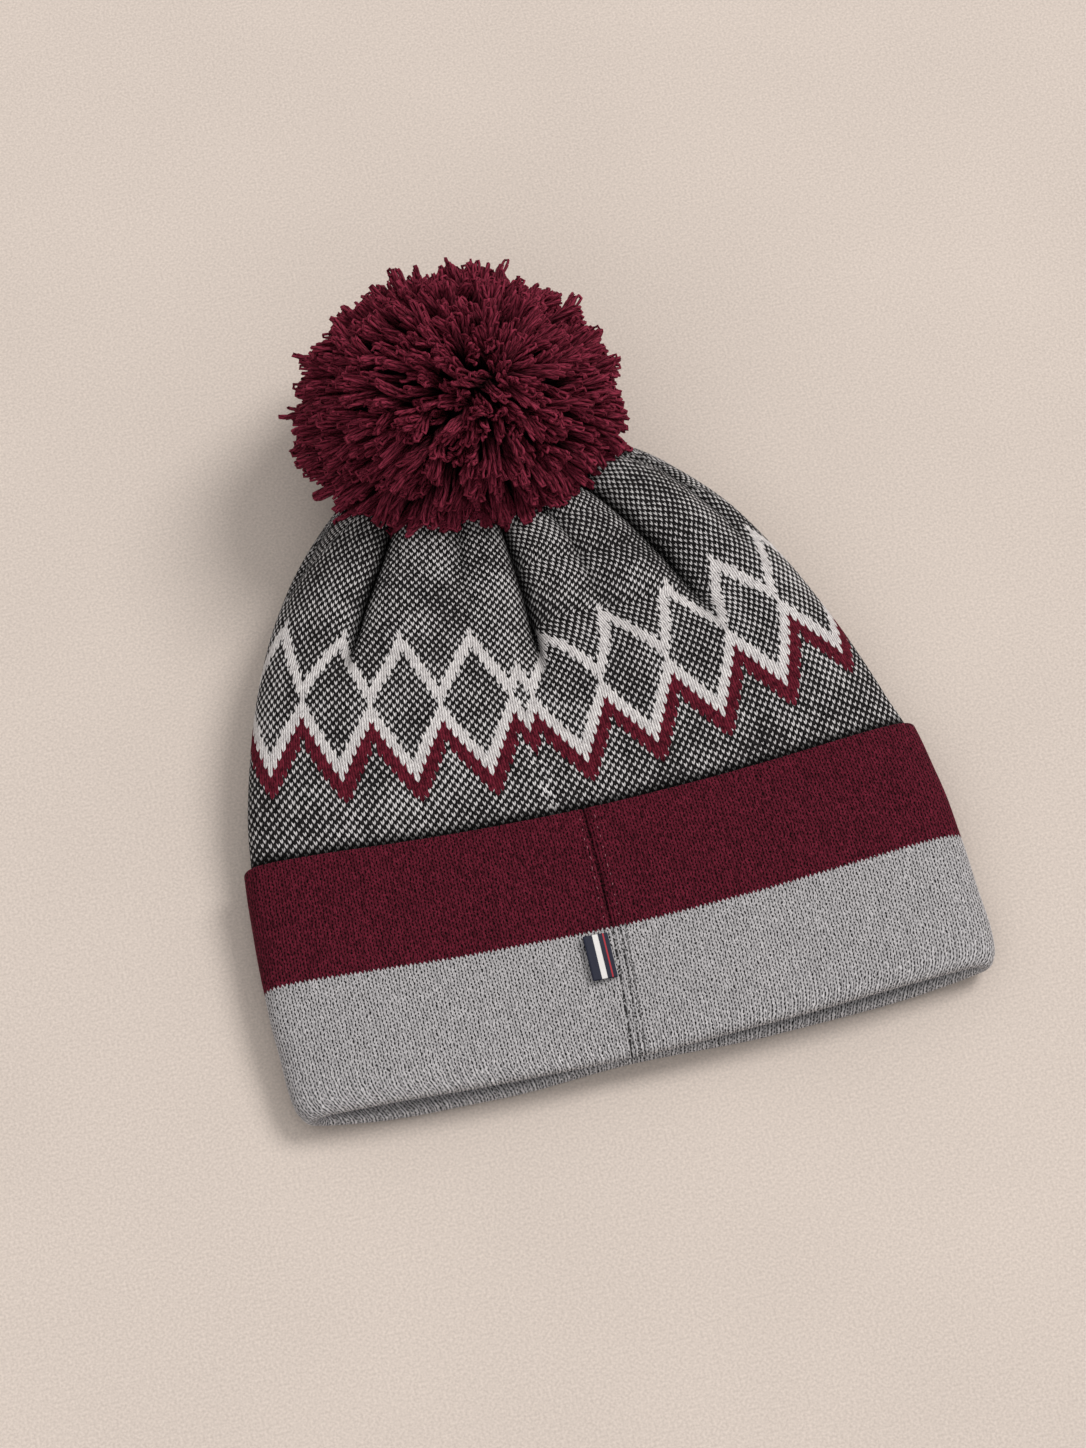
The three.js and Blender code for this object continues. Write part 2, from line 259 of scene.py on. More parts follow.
# points of a straight line that keeps one height
def levelLine(start, end, height, count):
    return np.stack([np.linspace(start, end, count), np.full(count, height)], -1)


# quads of a grid of rows and columns whose columns close into a ring
def ringFaces(rowCount, columnCount):
    r, c = np.meshgrid(np.arange(rowCount - 1), np.arange(columnCount), indexing="ij")
    d = (c + 1) % columnCount
    quads = np.stack([r * columnCount + c, r * columnCount + d,
                      (r + 1) * columnCount + d, (r + 1) * columnCount + c], -1)
    return quads.reshape(-1, 4)


# places on the map of those quads' corners: before and after are x on both sides of each column,
# and up is y at each point
def ringUv(before, after, up):
    ahead = np.roll(up, -1, 1)
    corners = [before[:-1], up[:-1], after[:-1], ahead[:-1], after[1:], ahead[1:], before[1:], up[1:]]
    return np.stack(corners, -1).reshape(-1, 2)


# faces of such a grid with a fan to a pole at each end, the poles after the grid's points; flipped
# where columns and rows run round so that the faces would point inwards
def closedFaces(rowCount, columnCount, flipped=False):
    ring = np.arange(columnCount)
    ahead = np.roll(ring, -1)
    base, pole = (rowCount - 1) * columnCount, np.full(columnCount, rowCount * columnCount)
    faces = [ringFaces(rowCount, columnCount), np.stack([pole, ahead, ring], -1),
             np.stack([pole + 1, base + ring, base + ahead], -1)]
    return [part[:, ::-1] for part in faces] if flipped else faces


# a grid's points in one list, and the middles of its first and last rows as poles
def withPoles(grid):
    return np.concatenate([grid.reshape(-1, 3), grid[:1].mean(1), grid[-1:].mean(1)])


# one object from points in millimetres and a list of face arrays. uv has a row for each corner or
# for each point; marks are numbers kept on the points, 0 for the points past their end
def placeMesh(name, points, faces, material, uv, node=None, marks={}):
    mesh = bpy.data.meshes.new(name)
    mesh.vertices.add(len(points))
    mesh.vertices.foreach_set("co", (points / 1000 + mouthMiddle).astype(np.float32).ravel())
    corners = np.concatenate([part.ravel() for part in faces])
    sizes = np.concatenate([np.full(len(part), part.shape[1]) for part in faces])
    mesh.loops.add(len(corners))
    mesh.loops.foreach_set("vertex_index", corners.astype(np.int32))
    mesh.polygons.add(len(sizes))
    mesh.polygons.foreach_set("loop_start", np.concatenate([[0], np.cumsum(sizes)[:-1]]).astype(np.int32))
    mesh.polygons.foreach_set("loop_total", sizes.astype(np.int32))
    mesh.polygons.foreach_set("use_smooth", np.ones(len(sizes), bool))
    uv = uv[corners] if len(uv) == len(points) else uv
    mesh.uv_layers.new(name="thread").data.foreach_set("uv", uv.astype(np.float32).ravel())
    for label, values in marks.items():
        mark = np.zeros(len(points), np.float32)
        mark[:values.size] = values.ravel()
        mesh.attributes.new(label, "FLOAT", "POINT").data.foreach_set("value", mark)
    mesh.update(calc_edges=True)
    mesh.validate()
    mesh.materials.append(material)
    piece = bpy.data.objects.new(name, mesh)
    bpy.context.scene.collection.objects.link(piece)
    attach(piece, "root")
    if node:
        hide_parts(node)
    print(f"{name}: {len(points)} points, {int((sizes - 2).sum())} triangles")
    return piece


# many tubes as one object, line + size * (side cos a + third sin a) with its ends closed; the map's
# x goes round the tube and its y is the share given for each ring
def placeTubes(name, line, side, third, size, sides, material, node, shade, share):
    count, rings = line.shape[:2]
    turn = np.linspace(0, 2 * np.pi, sides + 1)[:-1, None]
    points = line[:, :, None] + (side[:, :, None] * np.cos(turn) + third[:, :, None] * np.sin(turn)) * size
    points[..., 2] = np.maximum(points[..., 2], 0)
    points = np.concatenate([points.reshape(count, -1, 3), line[:, :1], line[:, -1:]], 1)
    first = (np.arange(count) * points.shape[1])[:, None, None]
    quads, *fans = closedFaces(rings, sides)
    around = quads % sides
    around[around[:, 0] == sides - 1, 1:3] = sides
    uv = [np.stack([around / sides, share[quads // sides]], -1)]
    uv += [np.tile((0, share[end]), (sides * 3, 1)) for end in (0, -1)]
    return placeMesh(name, points.reshape(-1, 3),
                     [(part[None] + first).reshape(-1, part.shape[1]) for part in (quads, *fans)], material,
                     np.concatenate([np.tile(part.reshape(-1, 2), (count, 1)) for part in uv]), node,
                     {"shade": np.repeat(shade, points.shape[1])})


# ---- shader helpers
# one output of a node, which can be written into formulas: each sign makes a Math node
class Wire:
    def __init__(self, socket):
        self.socket = socket

    def __add__(self, other):
        return calc("ADD", self, other)

    def __sub__(self, other):
        return calc("SUBTRACT", self, other)

    def __rsub__(self, other):
        return calc("SUBTRACT", other, self)

    def __mul__(self, other):
        return calc("MULTIPLY", self, other)

    def __truediv__(self, other):
        return calc("DIVIDE", self, other)

    def __mod__(self, other):
        return calc("FLOORED_MODULO", self, other)

    def __pow__(self, other):
        return calc("POWER", self, other)

    def __gt__(self, other):
        return calc("GREATER_THAN", self, other)

    def __lt__(self, other):
        return calc("LESS_THAN", self, other)

    def __abs__(self):
        return calc("ABSOLUTE", self)

    def clamped(self):
        self.socket.node.use_clamp = True
        return self


# a wire, a colour or a number into one input
def feed(target, value):
    if isinstance(value, Wire):
        target.id_data.links.new(value.socket, target)
    elif isinstance(value, tuple):
        target.default_value = (*value, 1.0)
    else:
        target.default_value = value


# one node with its settings and inputs; returns a wire from the output of that name or number
def addNode(tree, kind, output, settings={}, inputs={}):
    node = tree.nodes.new("ShaderNode" + kind)
    for name, value in settings.items():
        setattr(node, name, value)
    for name, value in inputs.items():
        feed(node.inputs[name], value)
    return Wire(node.outputs[output])


def treeOf(values):
    return next(value.socket.id_data for value in values if isinstance(value, Wire))


def calc(operation, *values):
    return addNode(treeOf(values), "Math", 0, {"operation": operation}, dict(enumerate(values)))


def highest(first, second):
    return calc("MAXIMUM", first, second)


# |sin(pi value)|: 0 where value is whole, 1 halfway
def sineOf(value):
    return abs(calc("SINE", value * math.pi))


def mixColour(share, first, second, blend="MIX"):
    return addNode(treeOf((share, first, second)), "Mix", 2, {"data_type": "RGBA", "blend_type": blend},
                   {0: share, 6: first, 7: second})


# a colour darkened by one number
def shaded(colour, shade):
    return mixColour(1.0, colour, joined(shade, shade, shade), "MULTIPLY")


def joined(x, y, z=0.0):
    return addNode(x.socket.id_data, "CombineXYZ", 0, {}, {0: x, 1: y, 2: z})


def noiseOf(place, scale, detail=2.0, roughness=0.5):
    return addNode(place.socket.id_data, "TexNoise", "Fac", {}, {
        "Vector": place, "Scale": scale, "Detail": detail, "Roughness": roughness})


# value from one range into another, held at its ends; smooth eases it by 3t^2 - 2t^3
def rangeOf(value, fromLow, fromHigh, toLow=0.0, toHigh=1.0, smooth=False):
    return addNode(value.socket.id_data, "MapRange", "Result",
                   {"interpolation_type": "SMOOTHSTEP" if smooth else "LINEAR"},
                   {"Value": value, "From Min": fromLow, "From Max": fromHigh,
                    "To Min": toLow, "To Max": toHigh})


# one number where share is 0 and another where it is 1
def mixNumber(share, first, second):
    return rangeOf(share, 0.0, 1.0, first, second)


def markOf(tree, label):
    return addNode(tree, "Attribute", "Fac", {"attribute_name": label})


# the two numbers of the map called thread
def threadMap(tree):
    x = addNode(tree, "SeparateXYZ", 0, {}, {0: addNode(tree, "UVMap", 0, {"uv_map": "thread"})})
    return x, Wire(x.socket.node.outputs[1])


# a node group from its inputs, each a kind of socket and a first value, and its outputs; returns it,
# wires from its inputs and the node that takes its outputs
def newGroup(name, inputs, outputs):
    group = bpy.data.node_groups.new(name, "ShaderNodeTree")
    for label, (kind, value) in inputs.items():
        socket = group.interface.new_socket(name=label, in_out="INPUT", socket_type="NodeSocket" + kind)
        if value is not None:
            socket.default_value = value
    for label, kind in outputs.items():
        group.interface.new_socket(name=label, in_out="OUTPUT", socket_type="NodeSocket" + kind)
    start = group.nodes.new("NodeGroupInput")
    wires = [Wire(start.outputs[label]) for label in inputs]
    return group, wires, group.nodes.new("NodeGroupOutput")


# a group placed in the tree of its values; returns wires from its outputs by name
def useGroup(group, **values):
    node = treeOf(values.values()).nodes.new("ShaderNodeGroup")
    node.node_tree = group
    for label, value in values.items():
        feed(node.inputs[label], value)
    return {output.name: Wire(output) for output in node.outputs}


# knitStitch: each wale is two slanting legs, so a stitch is a V one course deep.
# leg = |2 fract(wale) - 1|, lifted = course - slant * leg, number = floor(lifted);
# height = |sin(2 pi wale)|^0.6 * (0.5 + 0.5 sin(pi course)^0.6); Random is one number for each leg
def makeKnitStitch():
    group, (wale, course, slant), end = newGroup(
        "knitStitch", {"Wale": ("Float", 0.0), "Course": ("Float", 0.0), "Slant": ("Float", 0.9)},
        {name: "Float" for name in ("WaleNumber", "CourseNumber", "WaleShare", "CourseShare",
                                    "Height", "Random")})
    waleShare = calc("FRACT", wale)
    lifted = course - abs(waleShare * 2 - 1) * slant
    courseNumber, courseShare = calc("FLOOR", lifted), calc("FRACT", lifted)
    legRound = sineOf(wale * 2) ** 0.6
    height = legRound * (calc("SINE", courseShare * math.pi) ** 0.6 * 0.5 + 0.5)
    random = addNode(group, "TexWhiteNoise", "Value", {"noise_dimensions": "2D"},
                     {"Vector": joined(calc("FLOOR", wale * 2), courseNumber)})
    results = (calc("FLOOR", wale), courseNumber, waleShare, courseShare, height, random)
    for socket, value in zip(end.inputs, results):
        feed(socket, value)
    return group


# yarnTone: a yarn's colour, lighter and darker by a soft noise and by the stitch's own random share
def makeYarnTone():
    grey = (0.5, 0.5, 0.5, 1)
    group, (base, fleck, random, spread, vector, scale), end = newGroup(
        "yarnTone", {"Base": ("Color", grey), "Fleck": ("Color", grey), "Random": ("Float", 0.5),
                     "Spread": ("Float", 0.3), "Vector": ("Vector", None), "Scale": ("Float", 400.0)},
        {"Colour": "Color"})
    tone = random * 0.45 + rangeOf(noiseOf(vector, scale, 3.0), 0.3, 0.7) * 0.55
    share = (rangeOf(tone, 0.15, 0.85) * spread).clamped()
    feed(end.inputs[0], mixColour(share, base, fleck))
    return group


knitStitch = makeKnitStitch()
yarnTone = makeYarnTone()


# a yarn is its colour, the colour of its flecks and how far they spread
def toneOf(yarn, random, place, scale=900.0):
    base, fleck, spread = yarn
    return useGroup(yarnTone, Base=base, Fleck=fleck, Spread=spread, Random=random, Vector=place,
                    Scale=scale)["Colour"]


def newMaterial(name, roughness, specular):
    material = bpy.data.materials.new(name)
    material.use_nodes = True
    shader = material.node_tree.nodes["Principled BSDF"]
    shader.inputs["Roughness"].default_value = roughness
    shader.inputs["Specular IOR Level"].default_value = specular
    return material, material.node_tree


# colour and relief into the material's shader
def finishMaterial(material, colour, height, strength, distance):
    shader = material.node_tree.nodes["Principled BSDF"]
    feed(shader.inputs["Base Color"], colour)
    feed(shader.inputs["Normal"], addNode(material.node_tree, "Bump", 0, {}, {
        "Strength": strength, "Distance": distance, "Height": height}))
    return material


# ---- crown
crown = {
    "wales": 328,            # round the hat
    "rightWales": 94.0, "leftWales": 76.5,    # from the seam to each side edge
    "courseHeight": 1.30,
    "pitch": 1.24, "kept": 0.85, "keptOver": (140, 185),   # wale width that creases keep, from where
    "swallow": 0.6,          # half width of the strip where a crease takes wales in
    "wall": 2.2,
    "rightColumns": 166, "leftColumns": 138, "underColumns": 64, "fine": 2600,
    "outerRows": 196, "outerShort": 0.6,      # and how far the last row is from the gather
    "innerRows": 44, "innerShort": 6.0,
    "crowded": 0.96,         # how close together the rows come at the gather
    "seamX": [-11.5, -13.5, -12.5, -8.0, -6.0], "seamAlong": [71, 112, 126, 160, 231],
    "courseBow": 0.52,       # how far courses bend round the gather, 1 is a full circle
    "bowMiddle": -3.0,
    "firstCourse": 142.2,    # distance from the gather to the low points of the zigzag
    "uneven": 0.35,          # height of the cloth's soft waves
    "hemShade": (82.0, 85.6),   # stations between which the painted shade in the gap at the cuff fades out
    # how dark the painted shade makes the gap at the cuff and the folds
    "hemShadeDark": 0.94, "foldShadeDark": 0.93,
    "whiteYarn": ((0.84, 0.81, 0.805), (0.42, 0.395, 0.40), 0.75),
    "paleYarn": ((0.86, 0.84, 0.845), (0.36, 0.345, 0.355), 0.45),
    "darkYarn": ((0.006, 0.0052, 0.0056), (0.03, 0.027, 0.028), 0.8),
    "wineYarn": ((0.038, 0.0031, 0.0074), (0.185, 0.0185, 0.036), 0.9),
    "bandSlant": 0.85, "dotSlant": 0.62,
    "courseWander": 0.5, "waleWander": 0.4,   # in stitches
    "unevenDots": 0.44,
}

# The chart of one repeat. The bands are 14 stitches wide where the birdseye has 18 dots. d counts
# stitches from the zigzag's low point, 0 to 7, and every band edge is a course number that climbs
# or falls with d.
chart = {
    "dotRepeat": 18, "repeat": 14, "seamPeak": 2, "leftStep": 1.0,
    "wineStart": -2, "wineSlope": -3, "whiteStart": 3, "insideStart": 8,
    "insideEnd": 35, "whiteEnd": 40, "climb": 2,
}


# courses from the zigzag's low point: the distance D from the gather that solves
# y = length - D + bow * (D - sqrt(D^2 - x^2)), by repeated substitution
def courseAt(x, y):
    apart = np.maximum(hat["length"] - y, 1.0)
    reach = apart.copy()
    for step in range(24):
        chord = np.sqrt(np.maximum(reach**2 - (x - crown["bowMiddle"]) ** 2, 0))
        reach = apart + crown["courseBow"] * (reach - chord)
    return (crown["firstCourse"] - reach) / crown["courseHeight"] + chart["wineStart"]


# wales at each distance from the seam: distance / pitch, and the creases swallow the wales that
# would make the pitch too fine, each in an s-curve across its fold; placeAt turns x into distance
def foldedWales(away, total, along, placeAt):
    pitch = away.max() / total
    pitch = pitch + (crown["pitch"] - pitch) * crown["kept"] * easeStep(along, *crown["keptOver"])
    hidden = total - away.max() / pitch
    share, depths = 0, 1e-6
    for crease in creases:
        middle, grown = creaseAt(crease, along)
        place, depth = placeAt(middle), crease["depth"] * grown
        if place > 0:
            share = share + depth * easeStep(away, place - crown["swallow"], place + crown["swallow"])
            depths += depth
    return away / pitch + hidden * share / depths


# one row of the crown: columns at equal steps of surface length from the seam to each side edge,
# and on underneath; returns points and the wale count on both sides of each column
def crownRow(along, inner):
    inset = crown["wall"] if inner else 0.0
    across = acrossAt(np.linspace(0, np.pi, crown["fine"]))
    top, under = topFace(across, along, inset, inner), underFace(across[::-1], along, inset)
    run = runOf(top)

    def runAt(x):
        return np.interp(-x, -top[:, 0], run)

    atSeam = runAt(np.interp(along, crown["seamAlong"], crown["seamX"]))
    rightColumns, underColumns = crown["rightColumns"], crown["underColumns"]
    steps = np.concatenate([np.linspace(0, atSeam, rightColumns + 1)[:-1],
                            np.linspace(atSeam, run[-1], crown["leftColumns"] + 1)])
    away = steps - atSeam
    underSteps = np.linspace(0, runOf(under)[-1], underColumns + 1)[:-1]
    points = np.concatenate([pointsAt(steps[:-1], top), pointsAt(underSteps, under)])
    right = foldedWales(-away[:rightColumns + 1], crown["rightWales"], along, lambda x: atSeam - runAt(x))
    left = foldedWales(away[rightColumns:], crown["leftWales"], along, lambda x: runAt(x) - atSeam)
    wales = np.concatenate([right[:-1], -left])
    underWales = np.linspace(crown["wales"] - crown["leftWales"], crown["rightWales"], underColumns + 1)
    before = np.concatenate([wales[:-1], underWales[:-1]])
    after = np.concatenate([wales[1:], underWales[1:]])
    return points, before, after


# stations of the crown's rows, closer together towards the gather: sin(t) / sin(last)
def crownStations(count, short):
    last = np.pi / 2 * crown["crowded"]
    way = hat["length"] - short - hat["crownStart"]
    return hat["crownStart"] + way * np.sin(np.linspace(0, 1, count) * last) / np.sin(last)


def makeCrown(material):
    outer = crownStations(crown["outerRows"], crown["outerShort"])[::-1]
    inner = crownStations(crown["innerRows"], crown["innerShort"])
    alongs = np.concatenate([outer, inner])[:, None]
    rows = [crownRow(along, False) for along in outer] + [crownRow(along, True) for along in inner]
    points, before, after = (np.stack(part) for part in zip(*rows))
    rowCount, columnCount = points.shape[:2]
    onTop = ((np.arange(rowCount) < len(outer))[:, None]
             & (np.arange(columnCount) < crown["rightColumns"] + crown["leftColumns"]))
    # small unevenness of soft cloth, none at the tucked-in end
    x, y = points[..., 0], points[..., 1]
    soft = easeStep(y, 92, 112) * easeStep(hat["length"] - y, 20, 50)
    wave = (np.sin(x * 0.11 + 1.3 * np.sin(y * 0.05)) * np.sin(y * 0.085 + 0.9 * np.sin(x * 0.06 + 1))
            + 0.6 * np.sin(x * 0.19 + y * 0.13 + 2) * np.sin(y * 0.17 - x * 0.05))
    points[..., 2] = np.maximum(points[..., 2] + crown["uneven"] * soft * wave * onTop, 0)
    # the fans at the gather and in the hem lie above the chart
    fanUv = np.tile((0, 90), (columnCount * 6, 1))
    # painted shade in the gap where the crown leaves the cuff, fading out above the hem
    hemShadow = np.repeat(1 - easeStep(alongs, *crown["hemShade"]), columnCount)
    return placeMesh("crown_knit", withPoles(points), closedFaces(rowCount, columnCount), material,
                     np.concatenate([ringUv(before, after, courseAt(x, y)), fanUv]), "crown",
                     {"hemShadow": hemShadow, "foldShade": foldShadeShare(x, alongs) * onTop})


def makeCrownMaterial():
    material, tree = newMaterial("jacquardKnit", 0.95, 0.08)
    place = addNode(tree, "TexCoord", "Object")
    around, course = threadMap(tree)
    fromSeam = around - calc("ROUND", around / crown["wales"]) * crown["wales"]
    course = course - (fromSeam < 0) * chart["leftStep"]
    course = course + (noiseOf(place, 260.0, 1.0) - 0.5) * crown["courseWander"]
    wale = abs(fromSeam) + (noiseOf(place, 310.0, 1.0) - 0.5) * crown["waleWander"]
    wale = highest(wale, 0.01)
    dots = useGroup(knitStitch, Wale=wale, Course=course, Slant=crown["dotSlant"])
    fromPeak = (wale - chart["seamPeak"]) * (chart["repeat"] / chart["dotRepeat"])
    bands = useGroup(knitStitch, Wale=fromPeak, Course=course, Slant=crown["bandSlant"])
    # d = |stitch number mod repeat - repeat / 2|
    d = abs(bands["WaleNumber"] % chart["repeat"] - chart["repeat"] / 2)

    # 1 above the band edge that starts at a course and climbs with d
    def above(start, climb, least=None):
        edge = d * climb + start
        return bands["CourseNumber"] + 0.5 > (edge if least is None else highest(edge, least))

    climb = chart["climb"]
    aboveWhite = above(chart["whiteStart"], climb)
    peakGap = (d > chart["repeat"] / 2 - 0.5) * (1 - above(chart["wineStart"], climb))
    wine = (above(chart["wineSlope"], climb, chart["wineStart"]) - highest(aboveWhite, peakGap)).clamped()
    inside = (above(chart["insideStart"], climb) - above(chart["insideEnd"], -climb)).clamped()
    white = (aboveWhite - above(chart["whiteEnd"], -climb)).clamped()
    white = (white - inside).clamped()
    inBand = highest(white, wine)
    # birdseye: odd and even stitches alternate, and a soft threshold lets dark or pale swell
    sign = (dots["WaleNumber"] + dots["CourseNumber"]) % 2 * 2 - 1
    swell = rangeOf(noiseOf(place, 55.0, 3.0), 0.3, 0.7, -0.48, 0.0)
    level = sineOf(dots["WaleShare"]) * sineOf(dots["CourseShare"]) * sign
    level = level + swell + (dots["Random"] - 0.5) * crown["unevenDots"]
    # stretched stitches along the seam below the bands
    nearSeam = rangeOf(wale, 0.5, 2.2, 1.0, 0.0) * rangeOf(course, 8.0, 14.0, 1.0, 0.0)
    level = level + nearSeam * rangeOf(noiseOf(place, 420.0, 0.0), 0.45, 0.65, -0.1, 0.8)
    pale = rangeOf(level, -0.06, 0.06, smooth=True)
    # painted shading: pale stitches are brightest in their middles, darker towards their edges
    core = rangeOf(level, 0.0, 0.7, 0.4, 1.08)
    paleColour = shaded(toneOf(crown["paleYarn"], dots["Random"], place), core)
    colour = mixColour(pale, toneOf(crown["darkYarn"], dots["Random"], place), paleColour)
    colour = mixColour(white, colour, toneOf(crown["whiteYarn"], bands["Random"], place))
    colour = mixColour(wine, colour, toneOf(crown["wineYarn"], bands["Random"], place))
    # painted shade: grooves between legs are darker, and so are the folds and the gap where the crown
    # leaves the cuff
    height = bands["Height"] * inBand + dots["Height"] * (1 - inBand)
    groove = rangeOf(height, 0.0, 0.75, mixNumber(inBand, 0.66, 0.5), 1.0)
    groove = groove * (1 - markOf(tree, "hemShadow") * crown["hemShadeDark"])
    groove = groove * (1 - markOf(tree, "foldShade") * crown["foldShadeDark"])
    return finishMaterial(material, shaded(colour, groove), height, 0.8, 0.0006)


crownPiece = makeCrown(makeCrownMaterial())

# ---- cuff
cuff = {
    "outer": 2.6, "gap": 0.4, "innerWall": 2.0, "skin": 0.05,
    "tucked": 0.4,           # how far the inner layer ends below the crown's start
    "columns": 400, "seamColumns": 44, "measuredAt": 40.0,
    "hemPoints": 13, "outerRows": 74, "foldPoints": 21, "innerRows": 40, "backRows": 16, "gapRows": 18,
    "seamZone": (-13.0, 5.0),   # x range with close columns
    "seamMiddle": -4.0,
    "seamX": [-7.6, -6.0, -4.0, -3.2, -3.0], "seamAlong": [0, 15, 38, 60, 81],
    "shoulder": 0.3, "pinch": 1.1,   # how far cloth beside the seam swells, and is drawn in at the mouth
    "uneven": 0.22,
    "waleWidth": 1.03, "courseHeight": 1.25,
    "waleWander": 1.3, "courseWander": 1.5,   # in stitches
    "toothWidth": 1.45,      # of the zigzag where the two colours meet
    "greyTo": 40.5,          # height of the colour change above the mouth fold
    "wineYarn": ((0.045, 0.0040, 0.0094), (0.16, 0.0155, 0.034), 0.9),
    "greyYarn": ((0.335, 0.328, 0.34), (0.68, 0.664, 0.682), 0.6),
    "ribs": 0.75, "ribLight": 0.25, "ribReach": 8.5,   # ribs of the mouth fold: painted shade, painted highlight, height
    "edgeLight": 0.5,        # painted sheen of loose fibres: how much lighter the cloth is where it turns away
    "groove": 0.3,           # light from the groove between wales
    "speck": 0.03,           # light from the gap in the middle of each stitch
    "hole": 0.07,            # how much light comes back from a needle hole
    "dash": 1.6,             # courses from one needle hole to the next
}

# Rows beside the seam, by their distance from it in millimetres: half their width, how deep and how
# dark each is in the burgundy half and in the grey half, and how dark it stays between its holes in
# the burgundy half
seamRows = [
    {"aside": 0.0, "half": 0.5, "wineDeep": 0.85, "greyDeep": 0.3, "wineDark": 1.0, "greyDark": 1.0,
     "unbroken": 0.5},
    {"aside": 1.3, "half": 0.35, "wineDeep": 0.1, "greyDeep": 0.0, "wineDark": 0.55, "greyDark": 0.0,
     "unbroken": 0.3},
    {"aside": 2.5, "half": 0.45, "wineDeep": 0.0, "greyDeep": 0.25, "wineDark": 0.0, "greyDark": 0.9,
     "unbroken": 0.05},
    {"aside": 4.2, "half": 0.4, "wineDeep": 0.0, "greyDeep": 0.2, "wineDark": 0.0, "greyDark": 0.75,
     "unbroken": 0.0},
]


# body fabric of the cuff on a grid of stations and columns, and its outward normals from the
# cross product of the two directions
def bodyGrid(alongs, columnTurns, topCount):
    def points(a):
        top = topFace(acrossAt(columnTurns[:topCount])[None], a[:, None])
        under = underFace(acrossAt(columnTurns[topCount:])[None], a[:, None])
        return np.concatenate([top, under], 1)
    here = points(alongs)
    ahead = points(np.maximum(alongs + 0.3, 0.3)) - points(np.maximum(alongs - 0.3, 0))
    normal = np.cross(ahead, np.roll(here, -1, 1) - np.roll(here, 1, 1))
    return here, normal / np.linalg.norm(normal, axis=-1, keepdims=True)


# columns at equal steps of length round the turned-up layer's outer face, closer beside the seam;
# returns their turns round the section and the wales between them, counted from the seam
def cuffColumns():
    fine, half = np.linspace(0, 2 * np.pi, 8001), 4000
    across, along = acrossAt(fine), cuff["measuredAt"]
    around = np.where((fine <= np.pi)[:, None], topFace(across, along), underFace(across, along))
    ahead = unit(np.roll(around, -40, 0) - np.roll(around, 40, 0))
    around[:, 0] += cuff["outer"] * ahead[:, 2]
    around[:, 2] -= cuff["outer"] * ahead[:, 0]
    run = runOf(around)
    zoneEnd, zoneStart, seamRun = np.interp(-np.array([*cuff["seamZone"], cuff["seamMiddle"]]),
                                            -around[:half, 0], run[:half])
    rightColumns = round(cuff["columns"] * zoneStart / (run[-1] - zoneEnd + zoneStart))
    steps = np.concatenate([
        np.linspace(0, zoneStart, rightColumns + 1)[:-1],
        np.linspace(zoneStart, zoneEnd, cuff["seamColumns"] + 1)[:-1],
        np.linspace(zoneEnd, run[-1], cuff["columns"] - rightColumns + 1)])
    return np.interp(steps[:-1], run, fine), (steps - seamRun) / cuff["waleWidth"]


# the cuff's section, station and offset from the body fabric: down the turned-up layer, round the
# mouth fold, up the inner layer and back between the two
def cuffProfile():
    hem, foldRadius = (cuff["outer"] - cuff["gap"]) / 2, (cuff["outer"] + cuff["innerWall"]) / 2
    foldMiddle = (cuff["outer"] - cuff["innerWall"]) / 2
    top, tucked = hat["cuffTop"], hat["crownStart"] - cuff["tucked"]
    return np.concatenate([
        arcOf((top - hem, cuff["outer"] - hem), hem, -90, 90, cuff["hemPoints"]),
        levelLine(top - hem, foldRadius, cuff["outer"], cuff["outerRows"])[1:-1],
        arcOf((foldRadius, foldMiddle), foldRadius, 90, 270, cuff["foldPoints"]),
        levelLine(foldRadius, tucked, -cuff["innerWall"], cuff["innerRows"])[1:],
        levelLine(tucked, foldRadius + 1, -cuff["skin"], cuff["backRows"]),
        levelLine(foldRadius + 1, top - hem, cuff["gap"], cuff["gapRows"])[:-1]])


